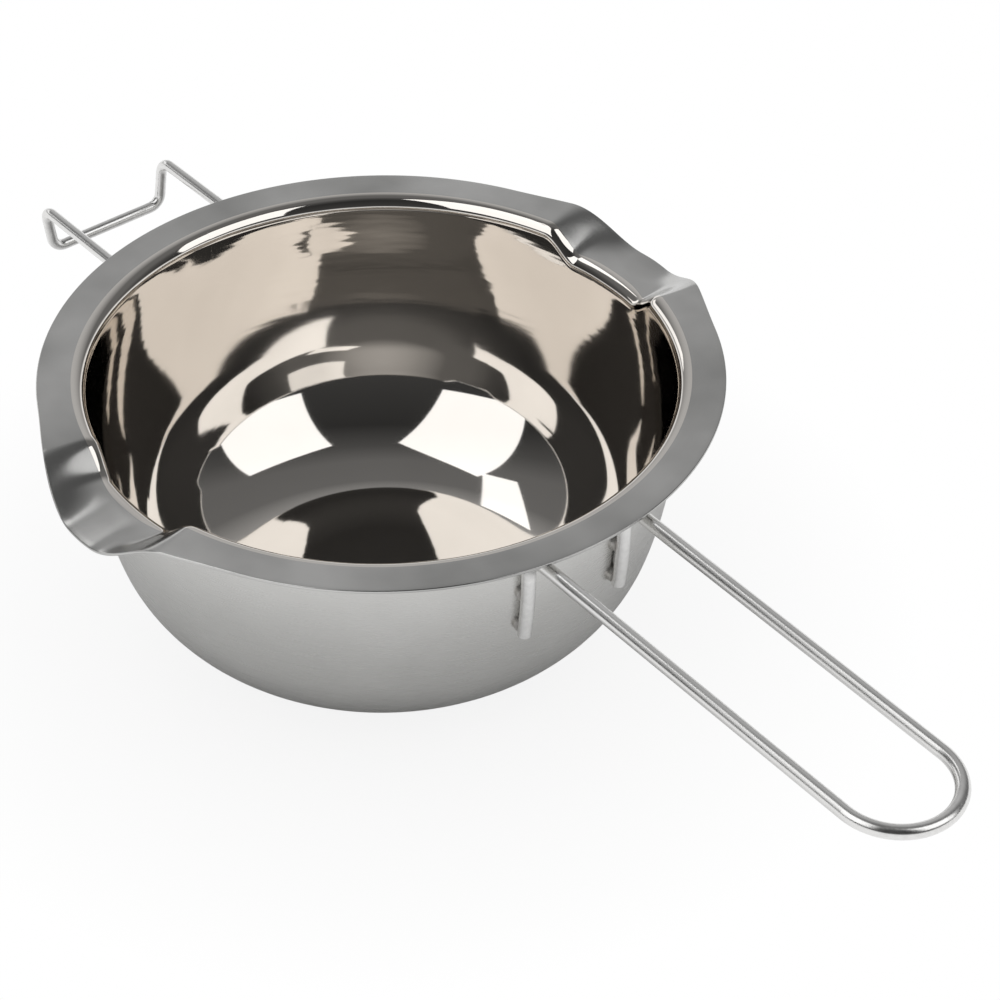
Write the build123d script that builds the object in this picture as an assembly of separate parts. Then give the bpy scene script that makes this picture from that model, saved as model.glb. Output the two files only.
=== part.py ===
from build123d import *
import os
from math import asin, atan2, cos, degrees, hypot, pi, radians, sin, sqrt, tan

# Melting pot with two pouring spouts, a wire loop handle and a wire rest opposite it.
# Sizes are in millimetres. The base stands on Z = 0 around the Z axis, the handle points
# along +X, the rest along -X, and the spouts along +Y and -Y.

# Bowl
RIM_RADIUS = 72.5
RIM_HEIGHT = 62.5
FLANGE_WIDTH = 7.2          # flat ring outside the rounded shoulder
SHOULDER_RADIUS = 3.0       # rounded inner edge of the rim
SHEET = 0.7                 # thickness of the pressed sheet
BASE_RADIUS = 27.0          # flat that the pot stands on
CORNER_SHARE = 0.929        # corner radius as a share of the step from base edge to wall

# Pouring spouts pressed into the rim
SPOUT_LIP_DROP = 6.8        # trough's lip below the rim
SPOUT_INNER_DROP = 5.2      # trough's shoulder below the rim
SPOUT_REACH = 4.8           # lip beyond the rim circle, at the middle of the spout
SPOUT_HALF_ANGLE = 16.8     # middle of the spout to where the rim starts to fall
SPOUT_INNER_RAMP = 8.0      # angle in which the shoulder falls from there to the trough
SPOUT_LIP_RAMP = 14.0       # angle in which the lip falls, longer and so less steep
SPOUT_BLEND_ANGLE = 28.0    # middle of the spout to where the lip joins the rim circle
SPOUT_FOOT = 2.0            # upright wall left under the trough's shoulder
SPOUT_SECTION_STEP = 1.4    # about the angle between neighbouring sections

# Loop handle
HANDLE_WIRE = 3.0
HANDLE_SPACING = 25.2       # between the two runs' centrelines
HANDLE_TIP = 164.9          # centreline at the far end of the loop
HANDLE_DEPTH = 3.4          # centreline below the rim where it leaves the wall
HANDLE_SLOPE = 1.5          # degrees downwards
HANDLE_BEND = 5.0
HANDLE_LEG_DEPTH = 25.3     # leg's lower end below the rim

# Rest opposite the handle
REST_WIRE = 2.5
REST_SPACING = 32.6         # between the two arms' centrelines
REST_TIP = 105.9            # centreline at the far end of the arms
REST_DEPTH = 9.5            # arms' centreline below the rim
REST_DROP = 11.5            # arms down to the cross-bar
REST_TAPER = 1.5            # each end piece leans in by this much
REST_BEND = 3.2
REST_LEG_DEPTH = 29.0

# Spot welds between wires and wall
WELD_GAP = 0.2              # between a wire and the wall, filled at the welds
WELD_EDGE = 0.4             # weld beyond the wire on each side
WELD_RISE = 0.4             # weld's height on the wire, as a share of the wire's radius
WELD_ROOT = 0.3             # how far a weld is started inside the sheet before trimming
WELD_END = 2.2              # lower weld above the leg's end
WELD_PITCH = 8.6            # lower weld to upper weld

JOIN_TOLERANCE = 0.005      # edges closer than this are one edge

INNER_WALL = RIM_RADIUS - FLANGE_WIDTH - SHOULDER_RADIUS
OUTER_WALL = INNER_WALL + SHEET
FLAT_START = INNER_WALL + SHOULDER_RADIUS

# The wall stays upright as far down as the troughs need; below that the sides curve in.
STRAIGHT_WALL = SPOUT_INNER_DROP + SHOULDER_RADIUS + SPOUT_FOOT
CURVE_START = RIM_HEIGHT - STRAIGHT_WALL
RIM_SPLIT = CURVE_START + SPOUT_FOOT / 2
CORNER_RADIUS = CORNER_SHARE * (OUTER_WALL - BASE_RADIUS)

# The side curve touches both the upright wall and the corner curve.
STEP_IN = OUTER_WALL - BASE_RADIUS
STEP_DOWN = CURVE_START - CORNER_RADIUS
SIDE_RADIUS = (STEP_IN**2 + STEP_DOWN**2 - CORNER_RADIUS**2) / (2 * (STEP_IN - CORNER_RADIUS))
SIDE_CENTRE = OUTER_WALL - SIDE_RADIUS
SIDE_TURN = degrees(atan2(STEP_DOWN, BASE_RADIUS - SIDE_CENTRE))


def radial_plane(angle):
    """Upright plane through the Z axis; its X runs outwards and its Y upwards."""
    out = (cos(radians(angle)), sin(radians(angle)), 0)
    across = (sin(radians(angle)), -cos(radians(angle)), 0)
    return Plane(origin=(0, 0, 0), x_dir=out, z_dir=across)


def rim_section(inner_drop, lip_drop, reach):
    """Sheet from the split up the wall, over the shoulder and out to the lip."""
    bend = (FLAT_START, RIM_HEIGHT - inner_drop - SHOULDER_RADIUS)
    lip = (RIM_RADIUS + reach, RIM_HEIGHT - lip_drop)
    run, rise = lip[0] - bend[0], lip[1] - bend[1]
    tilt = atan2(rise, run) - asin(SHOULDER_RADIUS / hypot(run, rise))
    along = (cos(tilt), sin(tilt))
    up = (-sin(tilt), cos(tilt))
    flange = sqrt(run**2 + rise**2 - SHOULDER_RADIUS**2)
    top_start = (lip[0] - flange * along[0], lip[1] - flange * along[1])
    under_start = (top_start[0] - SHEET * up[0], top_start[1] - SHEET * up[1])
    under_lip = (lip[0] - SHEET * up[0], lip[1] - SHEET * up[1])
    arc_start = 90 + degrees(tilt)
    arc_sweep = 90 - degrees(tilt)
    return make_face(
        [
            Line((OUTER_WALL, RIM_SPLIT), (INNER_WALL, RIM_SPLIT)),
            Line((INNER_WALL, RIM_SPLIT), (INNER_WALL, bend[1])),
            CenterArc(bend, SHOULDER_RADIUS, arc_start, arc_sweep),
            Line(top_start, lip),
            Line(lip, under_lip),
            Line(under_lip, under_start),
            CenterArc(bend, SHOULDER_RADIUS - SHEET, arc_start, arc_sweep),
            Line((OUTER_WALL, bend[1]), (OUTER_WALL, RIM_SPLIT)),
        ]
    )


def body_section():
    """Sheet from the axis over the base and up the wall to the split."""
    side_centre = (SIDE_CENTRE, CURVE_START)
    corner_centre = (BASE_RADIUS, CORNER_RADIUS)
    corner_turn = 90 - SIDE_TURN
    return make_face(
        [
            Line((0, 0), (BASE_RADIUS, 0)),
            CenterArc(corner_centre, CORNER_RADIUS, -90, corner_turn),
            CenterArc(side_centre, SIDE_RADIUS, -SIDE_TURN, SIDE_TURN),
            Line((OUTER_WALL, CURVE_START), (OUTER_WALL, RIM_SPLIT)),
            Line((OUTER_WALL, RIM_SPLIT), (INNER_WALL, RIM_SPLIT)),
            Line((INNER_WALL, RIM_SPLIT), (INNER_WALL, CURVE_START)),
            CenterArc(side_centre, SIDE_RADIUS - SHEET, -SIDE_TURN, SIDE_TURN),
            CenterArc(corner_centre, CORNER_RADIUS - SHEET, -90, corner_turn),
            Line((BASE_RADIUS, SHEET), (0, SHEET)),
            Line((0, SHEET), (0, 0)),
        ]
    )


def spout_drop(offset, depth, ramp):
    """Drop at an angle from the spout's middle: a ramp that bends softly at both ends."""
    into_ramp = (SPOUT_HALF_ANGLE - abs(offset)) / ramp
    return depth * (1 - cos(pi * min(1, max(0, into_ramp)))) / 2


def spout_reach(offset):
    """Lip beyond the rim circle, fading out along the rim on both sides."""
    return SPOUT_REACH * (1 + cos(pi * offset / SPOUT_BLEND_ANGLE)) / 2


def rim_stretch(middle, first, last):
    """Rim between two angles from a spout's middle, through evenly spaced sections."""
    count = max(3, round((last - first) / SPOUT_SECTION_STEP))
    sections = []
    for step in range(count + 1):
        offset = first + (last - first) * step / count
        inner_drop = spout_drop(offset, SPOUT_INNER_DROP, SPOUT_INNER_RAMP)
        lip_drop = spout_drop(offset, SPOUT_LIP_DROP, SPOUT_LIP_RAMP)
        section = rim_section(inner_drop, lip_drop, spout_reach(offset))
        sections.append(radial_plane(middle + offset) * section)
    return loft(sections)


def spout(middle):
    """One spout, in stretches that end where a ramp or the widening of the lip ends."""
    side = [SPOUT_HALF_ANGLE - SPOUT_LIP_RAMP, SPOUT_HALF_ANGLE - SPOUT_INNER_RAMP]
    side += [SPOUT_HALF_ANGLE, SPOUT_BLEND_ANGLE]
    stops = [-angle for angle in reversed(side)] + side
    return [rim_stretch(middle, first, last) for first, last in zip(stops, stops[1:])]


def plain_rim(middle):
    """Even stretch of rim between the two spouts."""
    span = 180 - 2 * SPOUT_BLEND_ANGLE
    section = radial_plane(middle - span / 2) * rim_section(0, 0, 0)
    return revolve(section, Axis.Z, span)


def make_bowl():
    """Rim of plain stretches and spouts, joined to a body with its seam under a spout."""
    body = revolve(radial_plane(90) * body_section(), Axis.Z, 360).solid()
    first, *others = [plain_rim(0), plain_rim(180), *spout(90), *spout(-90)]
    rim = first.solid().fuse(*[piece.solid() for piece in others]).clean()
    return body.fuse(rim, tol=JOIN_TOLERANCE)


def rounded_path(points, radii):
    """Straight runs through the points, with each inner corner rounded by its radius."""
    corners = [Vector(*point) for point in points]
    start = corners[0]
    edges = []
    for before, corner, after, radius in zip(corners, corners[1:], corners[2:], radii):
        back = (before - corner).normalized()
        ahead = (after - corner).normalized()
        half_angle = radians(back.get_angle(ahead)) / 2
        trim = radius / tan(half_angle)
        middle = corner + (back + ahead).normalized() * (radius / sin(half_angle) - radius)
        arc_start = corner + back * trim
        arc_end = corner + ahead * trim
        if (arc_start - start).length > JOIN_TOLERANCE:
            edges.append(Edge.make_line(start, arc_start))
        edges.append(Edge.make_three_point_arc(arc_start, middle, arc_end))
        start = arc_end
    if (corners[-1] - start).length > JOIN_TOLERANCE:
        edges.append(Edge.make_line(start, corners[-1]))
    return Wire(edges)


def round_wire(path, diameter):
    """Round wire bent along a path."""
    start_plane = Plane(origin=path @ 0, z_dir=path % 0)
    return sweep(start_plane * Circle(diameter / 2), path=path).solid()


def leg_offset(diameter):
    """Wall surface to the centreline of a wire that lies on it."""
    return WELD_GAP + diameter / 2


def leg_distance(diameter, spacing):
    """Distance along X from the axis to the upright part of a leg."""
    return sqrt((OUTER_WALL + leg_offset(diameter)) ** 2 - (spacing / 2) ** 2)


def leg_points(diameter, spacing, depth):
    """Lower end and knee of a leg, as distance along X and height, and its bend radius."""
    radius = SIDE_RADIUS + leg_offset(diameter)
    turn = asin((depth - STRAIGHT_WALL) / radius)
    distance = leg_distance(diameter, spacing)
    run = radius * tan(turn / 2)
    knee_height = CURVE_START - run
    end = (distance - run * sin(turn), knee_height - run * cos(turn))
    return end, (distance, knee_height), radius


def make_handle():
    half = HANDLE_SPACING / 2
    end, knee, leg_radius = leg_points(HANDLE_WIRE, HANDLE_SPACING, HANDLE_LEG_DEPTH)
    root = (knee[0], RIM_HEIGHT - HANDLE_DEPTH)
    fall = (HANDLE_TIP - root[0]) * tan(radians(HANDLE_SLOPE))
    tip = (HANDLE_TIP, root[1] - fall)
    side = [end, knee, root, tip]
    points = [(x, -half, z) for x, z in side] + [(x, half, z) for x, z in reversed(side)]
    radii = [leg_radius, HANDLE_BEND, half, half, HANDLE_BEND, leg_radius]
    return round_wire(rounded_path(points, radii), HANDLE_WIRE)


def make_rest():
    half = REST_SPACING / 2
    end, knee, leg_radius = leg_points(REST_WIRE, REST_SPACING, REST_LEG_DEPTH)
    arm_height = RIM_HEIGHT - REST_DEPTH
    side = [
        (-end[0], half, end[1]),
        (-knee[0], half, knee[1]),
        (-knee[0], half, arm_height),
        (-REST_TIP, half, arm_height),
        (-REST_TIP, half - REST_TAPER, arm_height - REST_DROP),
    ]
    points = side + [(x, -y, z) for x, y, z in reversed(side)]
    bends = [leg_radius, REST_BEND, REST_BEND, REST_BEND]
    return round_wire(rounded_path(points, bends + bends[::-1]), REST_WIRE)


def make_weld(diameter, spacing, depth, facing, side, bowl, wire):
    """Weld under a leg; facing is 1 on the handle's side, and side is 1 towards +Y."""
    turn = asin(max(0, depth - STRAIGHT_WALL) / SIDE_RADIUS)
    wall_height = RIM_HEIGHT - depth
    wall_radius = SIDE_CENTRE + SIDE_RADIUS * cos(turn)
    azimuth = asin(spacing / 2 / (wall_radius + leg_offset(diameter) * cos(turn)))
    out = Vector(facing * cos(azimuth), side * sin(azimuth), 0)
    normal = out * cos(turn) - Vector(0, 0, sin(turn))
    on_wall = out * wall_radius + Vector(0, 0, wall_height)
    height = WELD_ROOT + WELD_GAP + WELD_RISE * diameter / 2
    ground = Plane(origin=on_wall - normal * WELD_ROOT, z_dir=normal)
    blank = extrude(ground * Circle(diameter / 2 + WELD_EDGE), amount=height, dir=normal)
    return (blank - bowl - wire).solid()


def make_welds(prefix, diameter, spacing, leg_depth, facing, bowl, wire):
    """Two welds on each leg of one wire, by name."""
    lower = leg_depth - WELD_END
    welds = {}
    for side_name, side in (("left", -1), ("right", 1)):
        for level_name, depth in (("upper", lower - WELD_PITCH), ("lower", lower)):
            name = f"{prefix}_weld_{side_name}_{level_name}"
            welds[name] = make_weld(diameter, spacing, depth, facing, side, bowl, wire)
    return welds


bowl = make_bowl()
handle = make_handle()
rest = make_rest()
parts = {"bowl": bowl, "handle_wire": handle, "rest_wire": rest}
parts |= make_welds("handle", HANDLE_WIRE, HANDLE_SPACING, HANDLE_LEG_DEPTH, 1, bowl, handle)
parts |= make_welds("rest", REST_WIRE, REST_SPACING, REST_LEG_DEPTH, -1, bowl, rest)

os.makedirs("parts", exist_ok=True)
for name, solid in parts.items():
    solid.label = name
    export_step(solid, f"parts/{name}.step")
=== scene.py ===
import math
from collections import namedtuple

import bpy
from mathutils import Matrix, Vector


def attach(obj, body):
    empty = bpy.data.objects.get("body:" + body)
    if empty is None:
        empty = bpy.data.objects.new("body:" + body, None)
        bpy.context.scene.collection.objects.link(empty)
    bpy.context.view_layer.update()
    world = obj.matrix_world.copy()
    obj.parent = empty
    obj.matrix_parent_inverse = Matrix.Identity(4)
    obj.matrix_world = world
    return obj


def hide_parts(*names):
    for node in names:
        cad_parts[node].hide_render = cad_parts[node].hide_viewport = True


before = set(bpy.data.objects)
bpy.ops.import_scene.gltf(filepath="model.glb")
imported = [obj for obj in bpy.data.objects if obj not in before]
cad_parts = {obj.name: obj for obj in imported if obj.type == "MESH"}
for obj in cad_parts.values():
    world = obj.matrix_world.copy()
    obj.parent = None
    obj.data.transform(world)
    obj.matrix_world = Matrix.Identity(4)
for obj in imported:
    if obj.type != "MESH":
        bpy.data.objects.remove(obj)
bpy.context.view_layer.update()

# Sizes of the bowl in millimetres and degrees, the same as in the solid model
MM = 0.001
RIM_RADIUS = 72.5
RIM_HEIGHT = 62.5
FLANGE_WIDTH = 7.2
SHOULDER_RADIUS = 3.0
SHEET = 0.7
BASE_RADIUS = 27.0
CORNER_SHARE = 0.929
SPOUT_MIDDLES = (90, 270)
SPOUT_LIP_DROP = 6.8
SPOUT_INNER_DROP = 5.2
SPOUT_REACH = 4.8
SPOUT_HALF_ANGLE = 16.8
SPOUT_INNER_RAMP = 8.0
SPOUT_LIP_RAMP = 14.0
SPOUT_BLEND_ANGLE = 28.0
SPOUT_FOOT = 2.0

# Rounding of the lip's two edges, which the solid model leaves sharp
LIP_ROUND = 0.22

# Sizes of the bowl that follow from those above
INNER_WALL = RIM_RADIUS - FLANGE_WIDTH - SHOULDER_RADIUS
OUTER_WALL = INNER_WALL + SHEET
FLAT_START = INNER_WALL + SHOULDER_RADIUS
STRAIGHT_WALL = SPOUT_INNER_DROP + SHOULDER_RADIUS + SPOUT_FOOT
CURVE_START = RIM_HEIGHT - STRAIGHT_WALL
STEP_IN = OUTER_WALL - BASE_RADIUS
CORNER_RADIUS = CORNER_SHARE * STEP_IN
CORNER_CENTRE = (BASE_RADIUS, CORNER_RADIUS)
STEP_DOWN = CURVE_START - CORNER_RADIUS
SIDE_RADIUS = (STEP_IN**2 + STEP_DOWN**2 - CORNER_RADIUS**2) / (2 * (STEP_IN - CORNER_RADIUS))
SIDE_CENTRE = (OUTER_WALL - SIDE_RADIUS, CURVE_START)
SIDE_TURN = math.atan2(STEP_DOWN, BASE_RADIUS - SIDE_CENTRE[0])
QUARTER_TURN = math.pi / 2

# Rest wire in millimetres, the same as in the solid model
REST_WIRE = 2.5
REST_SPACING = 32.6
REST_TIP = 105.9
REST_DEPTH = 9.5
REST_DROP = 11.5
REST_TAPER = 1.5
REST_BEND = 3.2
REST_LEG_DEPTH = 29.0
WELD_GAP = 0.2

# Fineness of the meshes: steps along a section, sections round the bowl, sides and bends of a wire
STRAIGHT_STEPS = 8
CORNER_STEPS = 24
SIDE_STEPS = 20
SHOULDER_STEPS = 14
LIP_STEPS = 5
FLANGE_UNDER_STEPS = 6
SHOULDER_UNDER_STEPS = 10
BASE_UNDER_STEPS = 6
SPOUT_STEPS = 112
PLAIN_STEPS = 80
WIRE_SIDES = 24
BEND_STEPS = 12

# Numbers of the bowl's three surfaces among its materials
INSIDE, RIM, OUTSIDE = range(3)

# Finishes: darker and paler colour of each metal
POLISH_COLOURS = ((0.772, 0.738, 0.697), (0.812, 0.778, 0.737))
RIM_COLOURS = ((0.42, 0.418, 0.41), (0.68, 0.677, 0.665))
BRUSHED_COLOURS = ((0.65, 0.646, 0.63), (0.71, 0.706, 0.69))
WIRE_COLOURS = ((0.8, 0.795, 0.785), (0.88, 0.875, 0.865))
WELD_COLOURS = ((0.48, 0.46, 0.43), (0.62, 0.61, 0.6))

# Finishes: roughness of the wires and welds, and how far stretched highlights are turned, in turns
WIRE_ROUGHNESS = (0.2, 0.28)
WELD_ROUGHNESS = 0.42
STREAK_TURN = 0.25

# Finishes: sizes of their marks as repeats in a metre, or in a radian round the bowl
CLOUD_SCALE = 35
WIRE_SCALES = (60, 900, 900)
WELD_SCALE = 900
RIPPLE_SCALES = (5, 420)

# Finishes: depths of their relief in metres, and the height in millimetres where the ripples start
MARK_DEPTH = 0.00002
WELD_DEPTH = 0.00003
RIPPLE_DEPTH = 0.000025
RIPPLE_START = 30.0

# Range of a noise's values that a finish spreads between its ends, for its colour and its rings
COLOUR_RANGE = (0.3, 0.7)
RING_RANGE = (0.25, 0.75)

# White of the floor and the backdrop
WHITE = (1, 1, 1, 1)

# Floor in metres, with its share of white at two distances from the middle, as seen and as mirrored;
# less white near the middle lets the floor's real shadow show and greys it there as painted shade
FLOOR_SIZE = 8
FLOOR_HEIGHT = -0.0002
FLOOR_COLOUR = (0.82, 0.82, 0.82, 1)
FLOOR_ROUGHNESS = 0.9
SHADOW_REACH = (0.03, 0.12)
SHADOW_LEVELS = (0.86, 1)
# Painted shade: in mirrors the floor's white fades out towards the pot
MIRRORED_SHADE_REACH = (0.05, 0.15)
MIRRORED_SHADE_LEVELS = (0, 0.85)

# Palest place of the studio: its turn from the camera's side and its elevation, in degrees
PALE_PLACE = (180, 30)

# Greys of the studio by nearness to that place, from 0 opposite it to 1 at it
DARK_GREYS = [(0.0, 0.06), (0.3, 0.04), (0.5, 0.03), (0.65, 0.075)]
PALE_GREYS = [(0.75, 0.14), (0.875, 0.15), (0.95, 0.34), (1.0, 0.5)]

# Upward shares of a direction between which the white backdrop ends in mirrors
BACKDROP_END = (0.06, 0.2)

# Camera, fitted to the rim, the wires and the spouts in the photograph
CAMERA_AZIMUTH = 52.77
CAMERA_ELEVATION = 36.91
CAMERA_DISTANCE = 0.65
CAMERA_FOCAL_PIXELS = 3077.9
CAMERA_TURN = (-2.54, -2.15, -0.86)
PHOTO_PIXELS = 1000
SENSOR_MM = 36

# Flat of the rim in one section: centre of the shoulder's bend, lip, tilt, and its two directions
Flange = namedtuple("Flange", "bend lip tilt along up")


def spout_drop(offset, depth, ramp):
    """Drop at an angle from the spout's middle: a ramp that bends softly at both ends."""
    into_ramp = (SPOUT_HALF_ANGLE - abs(offset)) / ramp
    return depth * (1 - math.cos(math.pi * min(1, max(0, into_ramp)))) / 2


def spout_reach(offset):
    """Lip beyond the rim circle at an angle in degrees from the spout's middle."""
    return SPOUT_REACH * (1 + math.cos(math.pi * offset / SPOUT_BLEND_ANGLE)) / 2


def arc_point(centre, radius, angle):
    """Point on a circle, at an angle measured downwards from the outward direction."""
    return (centre[0] + radius * math.cos(angle), centre[1] - radius * math.sin(angle))


def arc(centre, radius, start, end, steps):
    """Points on an arc after its start."""
    angles = [start + (end - start) * step / steps for step in range(1, steps + 1)]
    return [arc_point(centre, radius, angle) for angle in angles]


def line(start, end, steps):
    """Points on a straight line after its start."""
    points = []
    for step in range(1, steps + 1):
        share = step / steps
        points.append(tuple(a + (b - a) * share for a, b in zip(start, end)))
    return points


def flange_at(offset):
    """Flat of the rim at an angle in degrees from a spout's middle, tangent to the shoulder."""
    inner_drop = spout_drop(offset, SPOUT_INNER_DROP, SPOUT_INNER_RAMP)
    lip_drop = spout_drop(offset, SPOUT_LIP_DROP, SPOUT_LIP_RAMP)
    bend = Vector((FLAT_START, RIM_HEIGHT - inner_drop - SHOULDER_RADIUS))
    lip = Vector((RIM_RADIUS + spout_reach(offset), RIM_HEIGHT - lip_drop))
    run, rise = lip - bend
    tilt = math.atan2(rise, run) - math.asin(SHOULDER_RADIUS / math.hypot(run, rise))
    along = Vector((math.cos(tilt), math.sin(tilt)))
    up = Vector((-math.sin(tilt), math.cos(tilt)))
    return Flange(bend, lip, tilt, along, up)


def inside_section(flange):
    """Inside of the sheet from the base's middle to the top of the shoulder."""
    shoulder_end = 3 * QUARTER_TURN - flange.tilt
    points = line((0, SHEET), (BASE_RADIUS, SHEET), STRAIGHT_STEPS)
    points += arc(CORNER_CENTRE, CORNER_RADIUS - SHEET, QUARTER_TURN, SIDE_TURN, CORNER_STEPS)
    points += arc(SIDE_CENTRE, SIDE_RADIUS - SHEET, SIDE_TURN, 0, SIDE_STEPS)
    points += line((INNER_WALL, CURVE_START), (INNER_WALL, flange.bend.y), STRAIGHT_STEPS)
    points += arc(flange.bend, SHOULDER_RADIUS, math.pi, shoulder_end, SHOULDER_STEPS)
    return points


def rim_section(flange):
    """Top of the rim from the shoulder to the lip, and the lip with its two rounded edges."""
    bend, lip, tilt, along, up = flange
    before_lip = lip - LIP_ROUND * along
    low = SHEET - LIP_ROUND
    points = line(bend + SHOULDER_RADIUS * up, before_lip, STRAIGHT_STEPS)
    points += arc(before_lip - LIP_ROUND * up, LIP_ROUND, -QUARTER_TURN - tilt, -tilt, LIP_STEPS)
    points.append(lip - low * up)
    points += arc(before_lip - low * up, LIP_ROUND, -tilt, QUARTER_TURN - tilt, LIP_STEPS)
    return points


def outside_section(flange):
    """Outside of the sheet from the lip to the last point before the base's middle."""
    bend, lip, tilt, along, up = flange
    under_lip = lip - LIP_ROUND * along - SHEET * up
    under_bend = SHOULDER_RADIUS - SHEET
    shoulder_end = 3 * QUARTER_TURN - tilt
    points = line(under_lip, bend + under_bend * up, FLANGE_UNDER_STEPS)
    points += arc(bend, under_bend, shoulder_end, math.pi, SHOULDER_UNDER_STEPS)
    points += line((OUTER_WALL, bend.y), (OUTER_WALL, CURVE_START), STRAIGHT_STEPS)
    points += arc(SIDE_CENTRE, SIDE_RADIUS, 0, SIDE_TURN, SIDE_STEPS)
    points += arc(CORNER_CENTRE, CORNER_RADIUS, SIDE_TURN, QUARTER_TURN, CORNER_STEPS)
    points += line((BASE_RADIUS, 0), (0, 0), BASE_UNDER_STEPS)[:-1]
    return points


def bowl_section(offset):
    """Points of the sheet's three surfaces at an angle from a spout's middle, as radii and heights."""
    flange = flange_at(offset)
    return inside_section(flange), rim_section(flange), outside_section(flange)


def bowl_angles():
    """Angles in degrees round the bowl with the offsets of their sections, closer at the spouts."""
    angles = []
    plain_span = 180 - 2 * SPOUT_BLEND_ANGLE
    for middle in SPOUT_MIDDLES:
        for step in range(SPOUT_STEPS + 1):
            offset = SPOUT_BLEND_ANGLE * (2 * step / SPOUT_STEPS - 1)
            angles.append((middle + offset, offset))
        for step in range(1, PLAIN_STEPS):
            beyond = plain_span * step / PLAIN_STEPS
            angles.append((middle + SPOUT_BLEND_ANGLE + beyond, SPOUT_BLEND_ANGLE))
    return angles


def smooth_mesh(name, points, faces, flat_faces=0):
    """Mesh with smooth shading on all faces but the last few."""
    mesh = bpy.data.meshes.new(name)
    mesh.from_pydata(points, [], faces)
    smooth = [True] * (len(faces) - flat_faces) + [False] * flat_faces
    mesh.polygons.foreach_set("use_smooth", smooth)
    mesh.update()
    return mesh


def fan_faces(columns, rows):
    """Faces between neighbouring columns of points round an axis; the two centres come after them."""
    top_centre = columns * rows
    under_centre = top_centre + 1
    faces = []
    for here in range(columns):
        first = here * rows
        second = (here + 1) % columns * rows
        faces.append((top_centre, first, second))
        for row in range(rows - 1):
            faces.append((first + row, first + row + 1, second + row + 1, second + row))
        faces.append((first + rows - 1, under_centre, second + rows - 1))
    return faces


def bowl_mesh():
    """Bowl as a fan of sections round the Z axis, with its three surfaces as material numbers."""
    columns = []
    for angle, offset in bowl_angles():
        inside, rim, outside = bowl_section(offset)
        x = math.cos(math.radians(angle))
        y = math.sin(math.radians(angle))
        columns.append([(r * x * MM, r * y * MM, z * MM) for r, z in inside + rim + outside])
    points = [point for column in columns for point in column]
    points += [(0, 0, SHEET * MM), (0, 0, 0)]
    mesh = smooth_mesh("bowl_sheet", points, fan_faces(len(columns), len(columns[0])))
    surfaces = [INSIDE] * len(inside) + [RIM] * len(rim) + [OUTSIDE] * (len(outside) + 1)
    mesh.polygons.foreach_set("material_index", surfaces * len(columns))
    return mesh


def rounded_corner(before, corner, after, radius):
    """Points on the arc that rounds one corner of a wire's path."""
    back = (before - corner).normalized()
    ahead = (after - corner).normalized()
    half_angle = back.angle(ahead) / 2
    centre = corner + (back + ahead).normalized() * (radius / math.sin(half_angle))
    start = corner + back * (radius / math.tan(half_angle)) - centre
    sweep = math.pi - 2 * half_angle
    axis = back.cross(ahead)
    turns = [Matrix.Rotation(-sweep * step / BEND_STEPS, 3, axis) for step in range(BEND_STEPS + 1)]
    return [centre + turn @ start for turn in turns]


def rest_leg(half_spacing, arm_height):
    """Leg of the rest along the wall, upwards, and its bend into the arm, as distances and heights."""
    offset = WELD_GAP + REST_WIRE / 2
    leg_radius = SIDE_RADIUS + offset
    leg_centre = (math.sqrt((OUTER_WALL + offset) ** 2 - half_spacing**2) - leg_radius, CURVE_START)
    leg_end = math.asin((REST_LEG_DEPTH - STRAIGHT_WALL) / leg_radius)
    bend_height = arm_height - REST_BEND
    leg_top = math.asin((CURVE_START - bend_height) / (leg_radius + REST_BEND))
    bend_centre = arc_point(leg_centre, leg_radius + REST_BEND, leg_top)
    points = [arc_point(leg_centre, leg_radius, leg_end)]
    points += arc(leg_centre, leg_radius, leg_end, leg_top, BEND_STEPS)
    points += arc(bend_centre, REST_BEND, math.pi + leg_top, 3 * QUARTER_TURN, BEND_STEPS)
    return points


def rest_path():
    """Middle of the rest wire: up a leg, out along the arm, down, across and back to the other leg."""
    half = REST_SPACING / 2
    arm_height = RIM_HEIGHT - REST_DEPTH
    side = [Vector((-distance, half, height)) for distance, height in rest_leg(half, arm_height)]
    tip = Vector((-REST_TIP, half, arm_height))
    low = tip - Vector((0, REST_TAPER, REST_DROP))
    side += rounded_corner(side[-1], tip, low, REST_BEND)
    side += rounded_corner(tip, low, low - Vector((0, half, 0)), REST_BEND)
    return side + [Vector((x, -y, z)) for x, y, z in reversed(side)]


def wire_mesh(name, path, diameter):
    """Round wire along a path, as rings that turn with it and two flat ends."""
    points = []
    side = Vector((0, 1, 0))
    for place, before, after in zip(path, path[:1] + path, path[1:] + path[-1:]):
        along = (after - before).normalized()
        side = (side - along * side.dot(along)).normalized()
        across = along.cross(side)
        for step in range(WIRE_SIDES):
            turn = 2 * math.pi * step / WIRE_SIDES
            spoke = side * math.cos(turn) + across * math.sin(turn)
            points.append((place + spoke * diameter / 2) * MM)
    faces = []
    last = len(points) - WIRE_SIDES
    for start in range(0, last, WIRE_SIDES):
        for step in range(WIRE_SIDES):
            here = start + step
            ahead = start + (step + 1) % WIRE_SIDES
            faces.append((here, ahead, ahead + WIRE_SIDES, here + WIRE_SIDES))
    faces.append(tuple(reversed(range(WIRE_SIDES))))
    faces.append(tuple(range(last, last + WIRE_SIDES)))
    return smooth_mesh(name, points, faces, flat_faces=2)


def feed(tree, socket, value):
    """Sets an input to a fixed value, or links it to another node's output."""
    if isinstance(value, bpy.types.NodeSocket):
        tree.links.new(value, socket)
    else:
        socket.default_value = value


def add_node(tree, kind, settings=None, inputs=None):
    """Node of a kind with its settings and its inputs, which are fixed values or other outputs."""
    node = tree.nodes.new("ShaderNode" + kind)
    for key, value in (settings or {}).items():
        setattr(node, key, value)
    for key, value in (inputs or {}).items():
        feed(tree, node.inputs[key], value)
    return node


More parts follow.
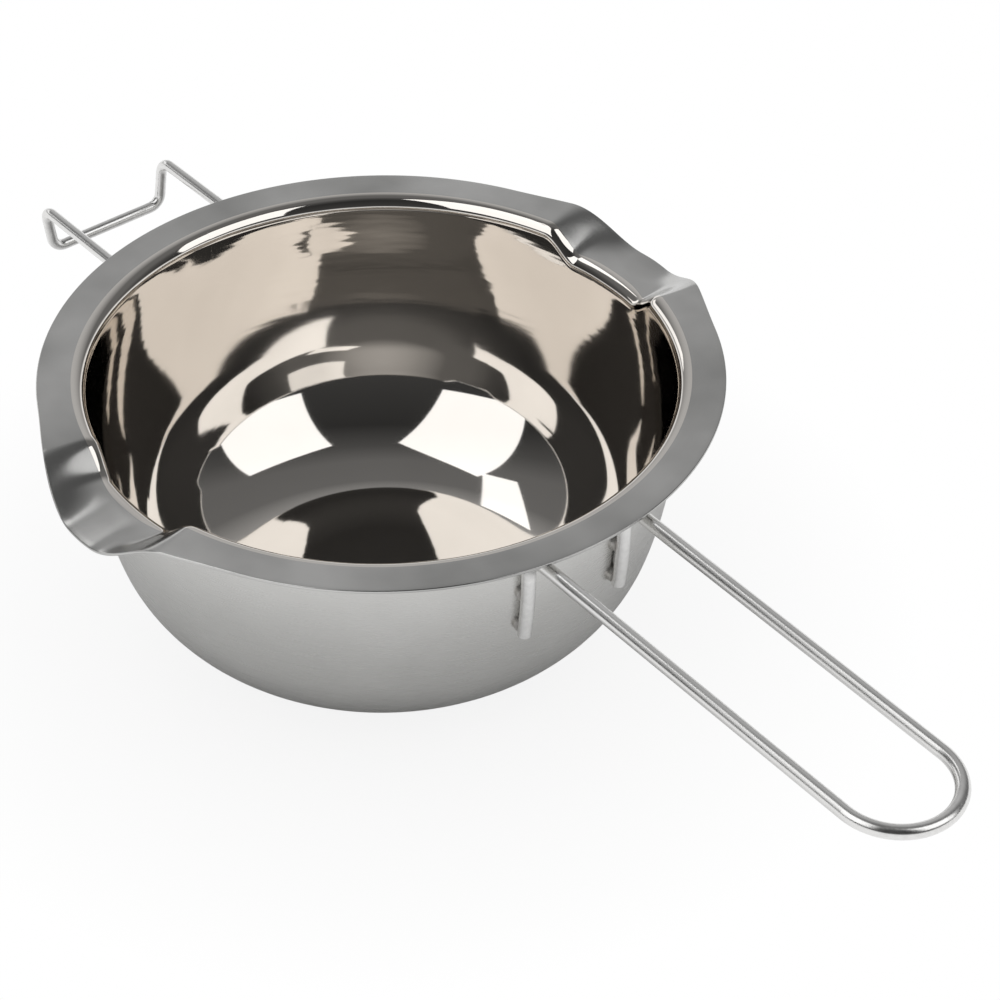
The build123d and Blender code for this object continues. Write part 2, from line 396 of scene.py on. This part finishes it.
def maths(tree, operation, *values, clamp=False):
    """Number worked out from other numbers."""
    settings = {"operation": operation, "use_clamp": clamp}
    return add_node(tree, "Math", settings, dict(enumerate(values))).outputs[0]


def length(tree, vector):
    """Length of a vector."""
    return add_node(tree, "VectorMath", {"operation": "LENGTH"}, {0: vector}).outputs["Value"]


def map_range(tree, value, source, target=(0, 1)):
    """Number that runs over the target range while a value runs over the source range."""
    inputs = {"Value": value, "From Min": source[0], "From Max": source[1],
              "To Min": target[0], "To Max": target[1]}
    return add_node(tree, "MapRange", None, inputs).outputs["Result"]


def noise(tree, place, scale=1, detail=1, roughness=0.5):
    """Soft uneven pattern with values about one half."""
    inputs = {"Vector": place, "Scale": scale, "Detail": detail, "Roughness": roughness}
    return add_node(tree, "TexNoise", None, inputs).outputs["Fac"]


def colour_ramp(tree, level, stops):
    """Colour at a level, from stops that are positions with colours or greys."""
    node = add_node(tree, "ValToRGB", None, {"Fac": level})
    elements = node.color_ramp.elements
    while len(elements) < len(stops):
        elements.new(0.5)
    for element, (position, colour) in zip(elements, stops):
        element.position = position
        element.color = (*colour, 1) if isinstance(colour, tuple) else (colour, colour, colour, 1)
    return node.outputs["Color"]


def relief(tree, height, strength, depth):
    """Bump from a height between 0 and 1, with its depth in metres."""
    return add_node(tree, "Bump", None, {"Height": height, "Strength": strength, "Distance": depth})


def object_place(tree):
    """Place on a piece in its own coordinates."""
    return add_node(tree, "TexCoord").outputs["Object"]


def split(tree, vector):
    """X, Y and Z of a vector."""
    return add_node(tree, "SeparateXYZ", None, {0: vector}).outputs


def ring_coordinates(tree, along, across):
    """Coordinates that run round the Z axis and across it, for marks left by turning."""
    x, y, z = split(tree, object_place(tree))
    radius = length(tree, add_node(tree, "CombineXYZ", None, {"X": x, "Y": y}).outputs[0])
    rings = {"X": maths(tree, "ARCTAN2", y, x), "Y": maths(tree, "ADD", radius, z)}
    joined = add_node(tree, "CombineXYZ", None, rings).outputs[0]
    factors = {0: joined, 1: (along, across, 0)}
    return add_node(tree, "VectorMath", {"operation": "MULTIPLY"}, factors).outputs[0]


def wall_ripples(tree):
    """Height of the ripples that forming left round the upright wall; they fade out further down."""
    swell = noise(tree, ring_coordinates(tree, *RIPPLE_SCALES))
    height = split(tree, object_place(tree))["Z"]
    upright = map_range(tree, height, (RIPPLE_START * MM, CURVE_START * MM))
    return maths(tree, "MULTIPLY", swell, upright)


def new_material(name):
    """Material with its node tree and its main shader."""
    material = bpy.data.materials.new(name)
    material.use_nodes = True
    tree = material.node_tree
    return material, tree, tree.nodes["Principled BSDF"]


def bare_metal(tree, shader, colours, cloud, roughness, bump):
    """Dresses a shader as bare metal whose colour varies with a cloud."""
    tint = colour_ramp(tree, cloud, list(zip(COLOUR_RANGE, colours)))
    feed(tree, shader.inputs["Base Color"], tint)
    feed(tree, shader.inputs["Metallic"], 1)
    feed(tree, shader.inputs["Roughness"], roughness)
    feed(tree, shader.inputs["Normal"], bump.outputs["Normal"])


def steel(name, colours, roughness, brushing, bump, anisotropy=0.0, ripple=0.0):
    """Steel turned round the Z axis: fine rings vary its roughness and relief, and a cloud its colour.

    Brushing gives the rings' repeats in a radian round the axis and in a metre across.
    """
    material, tree, shader = new_material(name)
    rings = noise(tree, ring_coordinates(tree, *brushing), detail=4, roughness=0.6)
    cloud = noise(tree, object_place(tree), CLOUD_SCALE, detail=3)
    marks = relief(tree, rings, bump, MARK_DEPTH)
    bare_metal(tree, shader, colours, cloud, map_range(tree, rings, RING_RANGE, roughness), marks)
    if ripple:
        wave = relief(tree, wall_ripples(tree), strength=1, depth=ripple)
        feed(tree, marks.inputs["Normal"], wave.outputs["Normal"])
    if anisotropy:
        tangent = add_node(tree, "Tangent", {"direction_type": "RADIAL", "axis": "Z"})
        feed(tree, shader.inputs["Tangent"], tangent.outputs[0])
        feed(tree, shader.inputs["Anisotropic"], anisotropy)
        feed(tree, shader.inputs["Anisotropic Rotation"], STREAK_TURN)
    return material


def inside_polish():
    """Mirror polish with a warm tint, and ripples in the upright wall."""
    return steel("inside_polish", POLISH_COLOURS, roughness=(0.03, 0.06), brushing=(6, 2500),
                 bump=0.02, ripple=RIPPLE_DEPTH)


def rim_satin():
    """Satin rim with uneven greys."""
    return steel("rim_satin", RIM_COLOURS, roughness=(0.18, 0.26), brushing=(5, 5000),
                 bump=0.06, anisotropy=0.5)


def outside_brushed():
    """Outside with fine circular brushing."""
    return steel("outside_brushed", BRUSHED_COLOURS, roughness=(0.22, 0.3), brushing=(4, 4000),
                 bump=0.04, anisotropy=0.6)


def wire_satin():
    """Drawn wire: satin, with faint long marks."""
    material, tree, shader = new_material("wire_satin")
    stretch = add_node(tree, "Mapping", None, {"Vector": object_place(tree), "Scale": WIRE_SCALES})
    marks = noise(tree, stretch.outputs[0])
    scratches = relief(tree, marks, strength=0.02, depth=MARK_DEPTH)
    roughness = map_range(tree, marks, (0, 1), WIRE_ROUGHNESS)
    bare_metal(tree, shader, WIRE_COLOURS, marks, roughness, scratches)
    return material


def weld_heat():
    """Weld metal: dull, with a straw tint from the heat."""
    material, tree, shader = new_material("weld_heat")
    cloud = noise(tree, object_place(tree), WELD_SCALE, detail=3)
    grain = relief(tree, cloud, strength=0.06, depth=WELD_DEPTH)
    bare_metal(tree, shader, WELD_COLOURS, cloud, WELD_ROUGHNESS, grain)
    return material


def make_bowl():
    """Bowl with its materials in the order of its surfaces."""
    bowl = bpy.data.objects.new("bowl_pressed", bowl_mesh())
    bpy.context.collection.objects.link(bowl)
    for material in (inside_polish(), rim_satin(), outside_brushed()):
        bowl.data.materials.append(material)
    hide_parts("bowl")
    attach(bowl, "root")


def make_rest(material):
    """Rest wire along a smooth path."""
    rest = bpy.data.objects.new("rest_bent", wire_mesh("rest_round", rest_path(), REST_WIRE))
    bpy.context.collection.objects.link(rest)
    rest.data.materials.append(material)
    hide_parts("rest_wire")
    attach(rest, "root")


def paint_node(name, material):
    """Gives a solid from the frame its finished material."""
    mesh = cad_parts[name].data
    mesh.materials.clear()
    mesh.materials.append(material)


def white_share(tree, seen, mirrored):
    """Share of plain white: one level for the camera's view, another in mirrors and through glass."""
    ray = add_node(tree, "LightPath").outputs
    bent = maths(tree, "ADD", ray["Is Glossy Ray"], ray["Is Transmission Ray"])
    in_mirrors = maths(tree, "MULTIPLY", bent, mirrored)
    return maths(tree, "MULTIPLY_ADD", ray["Is Camera Ray"], seen, in_mirrors, clamp=True)


def mix_shaders(tree, share, first, second):
    """Surface between two shaders, all second where the share is 1."""
    inputs = {"Fac": share, 1: first.outputs[0], 2: second.outputs[0]}
    return add_node(tree, "MixShader", None, inputs).outputs[0]


def make_floor():
    """White table with a faint shadow at the pot, partly its real shadow and partly painted shade; in
    reflections a painted shade darkens it towards the pot.
    """
    bpy.ops.mesh.primitive_plane_add(size=FLOOR_SIZE, location=(0, 0, FLOOR_HEIGHT))
    floor = bpy.context.object
    floor.name = "floor"
    material, tree, shader = new_material("white_table")
    shader.inputs["Base Color"].default_value = FLOOR_COLOUR
    shader.inputs["Roughness"].default_value = FLOOR_ROUGHNESS
    distance = length(tree, object_place(tree))
    # Painted shade: less white near the pot greys the floor there, besides letting its real shadow show
    seen = map_range(tree, distance, SHADOW_REACH, SHADOW_LEVELS)
    # Painted shade: in mirrors the floor's white fades out towards the pot, so it looks darker there
    mirrored = map_range(tree, distance, MIRRORED_SHADE_REACH, MIRRORED_SHADE_LEVELS)
    glow = add_node(tree, "Emission", None, {"Color": WHITE, "Strength": 1})
    surface = mix_shaders(tree, white_share(tree, seen, mirrored), shader, glow)
    feed(tree, tree.nodes["Material Output"].inputs["Surface"], surface)
    floor.data.materials.append(material)


def direction(turn, elevation):
    """Direction from the pot, turned from the camera's side by an angle, at an elevation."""
    azimuth = math.radians(CAMERA_AZIMUTH + turn)
    height = math.radians(elevation)
    flat = math.cos(height)
    return Vector((math.sin(azimuth) * flat, -math.cos(azimuth) * flat, math.sin(height)))


def make_world():
    """White backdrop; above it a dim studio that is palest behind the pot and dark above the camera."""
    world = bpy.data.worlds.new("studio")
    bpy.context.scene.world = world
    world.use_nodes = True
    tree = world.node_tree
    tree.nodes.clear()
    sky = add_node(tree, "TexCoord").outputs["Generated"]
    towards = {0: sky, 1: direction(*PALE_PLACE)}
    nearness = add_node(tree, "VectorMath", {"operation": "DOT_PRODUCT"}, towards).outputs["Value"]
    greys = colour_ramp(tree, map_range(tree, nearness, (-1, 1)), DARK_GREYS + PALE_GREYS)
    mirrored = map_range(tree, split(tree, sky)["Z"], BACKDROP_END, (1, 0))
    studio = add_node(tree, "Background", None, {"Color": greys})
    white = add_node(tree, "Background", None, {"Color": WHITE, "Strength": 1})
    surface = mix_shaders(tree, white_share(tree, 1, mirrored), studio, white)
    add_node(tree, "OutputWorld", None, {"Surface": surface})


def shift_from_rim(offset):
    """Shift to a place at an offset in metres from the middle of the rim."""
    return Matrix.Translation(Vector((0, 0, RIM_HEIGHT * MM)) + offset)


def softbox(name, stand, back, roll, size, brightness):
    """Rectangular lamp a metre from the rim's middle, with its back turned to a direction."""
    lamp = bpy.data.lights.new(name, "AREA")
    lamp.shape = "RECTANGLE"
    lamp.size, lamp.size_y = size
    lamp.energy = math.pi * size[0] * size[1] * brightness
    holder = bpy.data.objects.new(name, lamp)
    bpy.context.collection.objects.link(holder)
    turned = direction(*back).to_track_quat("Z", "Y").to_matrix().to_4x4()
    turned @= Matrix.Rotation(math.radians(roll), 4, "Z")
    holder.matrix_world = shift_from_rim(direction(*stand)) @ turned


def make_lamps():
    """Two large softboxes to the left and right of the camera, and two panels behind the pot."""
    softbox("softbox_left", stand=(-52.8, 55), back=(-75.7, 31.2), roll=26,
            size=(0.71, 1.11), brightness=1.25)
    softbox("softbox_right", stand=(70.2, 45.1), back=(41.7, 23.2), roll=-8,
            size=(0.67, 0.93), brightness=1.25)
    softbox("panel_low", stand=(-130, 20), back=(-130, 20), roll=0,
            size=(0.72, 0.26), brightness=1.0)
    softbox("panel_high", stand=(-136, 57), back=(-136, 57), roll=20,
            size=(0.46, 0.2), brightness=1.2)


def make_camera():
    """Camera at the photograph's angle, turned a little away from the middle of the rim."""
    camera = bpy.data.cameras.new("photo_camera")
    camera.sensor_width = SENSOR_MM
    camera.lens = CAMERA_FOCAL_PIXELS / PHOTO_PIXELS * SENSOR_MM
    holder = bpy.data.objects.new("photo_camera", camera)
    bpy.context.collection.objects.link(holder)
    pitch, yaw, roll = CAMERA_TURN
    turns = [("Z", CAMERA_AZIMUTH), ("X", 90 - CAMERA_ELEVATION), ("Y", yaw), ("X", pitch), ("Z", roll)]
    facing = Matrix.Identity(4)
    for axis, angle in turns:
        facing @= Matrix.Rotation(math.radians(angle), 4, axis)
    place = direction(0, CAMERA_ELEVATION) * CAMERA_DISTANCE
    holder.matrix_world = shift_from_rim(place) @ facing
    bpy.context.scene.camera = holder


make_bowl()
wire_material = wire_satin()
make_rest(wire_material)
weld_material = weld_heat()
for node_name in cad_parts:
    if "weld" in node_name:
        paint_node(node_name, weld_material)
    elif "wire" in node_name:
        paint_node(node_name, wire_material)

make_floor()
make_world()
make_lamps()
make_camera()
bpy.context.scene.view_settings.view_transform = "Standard"
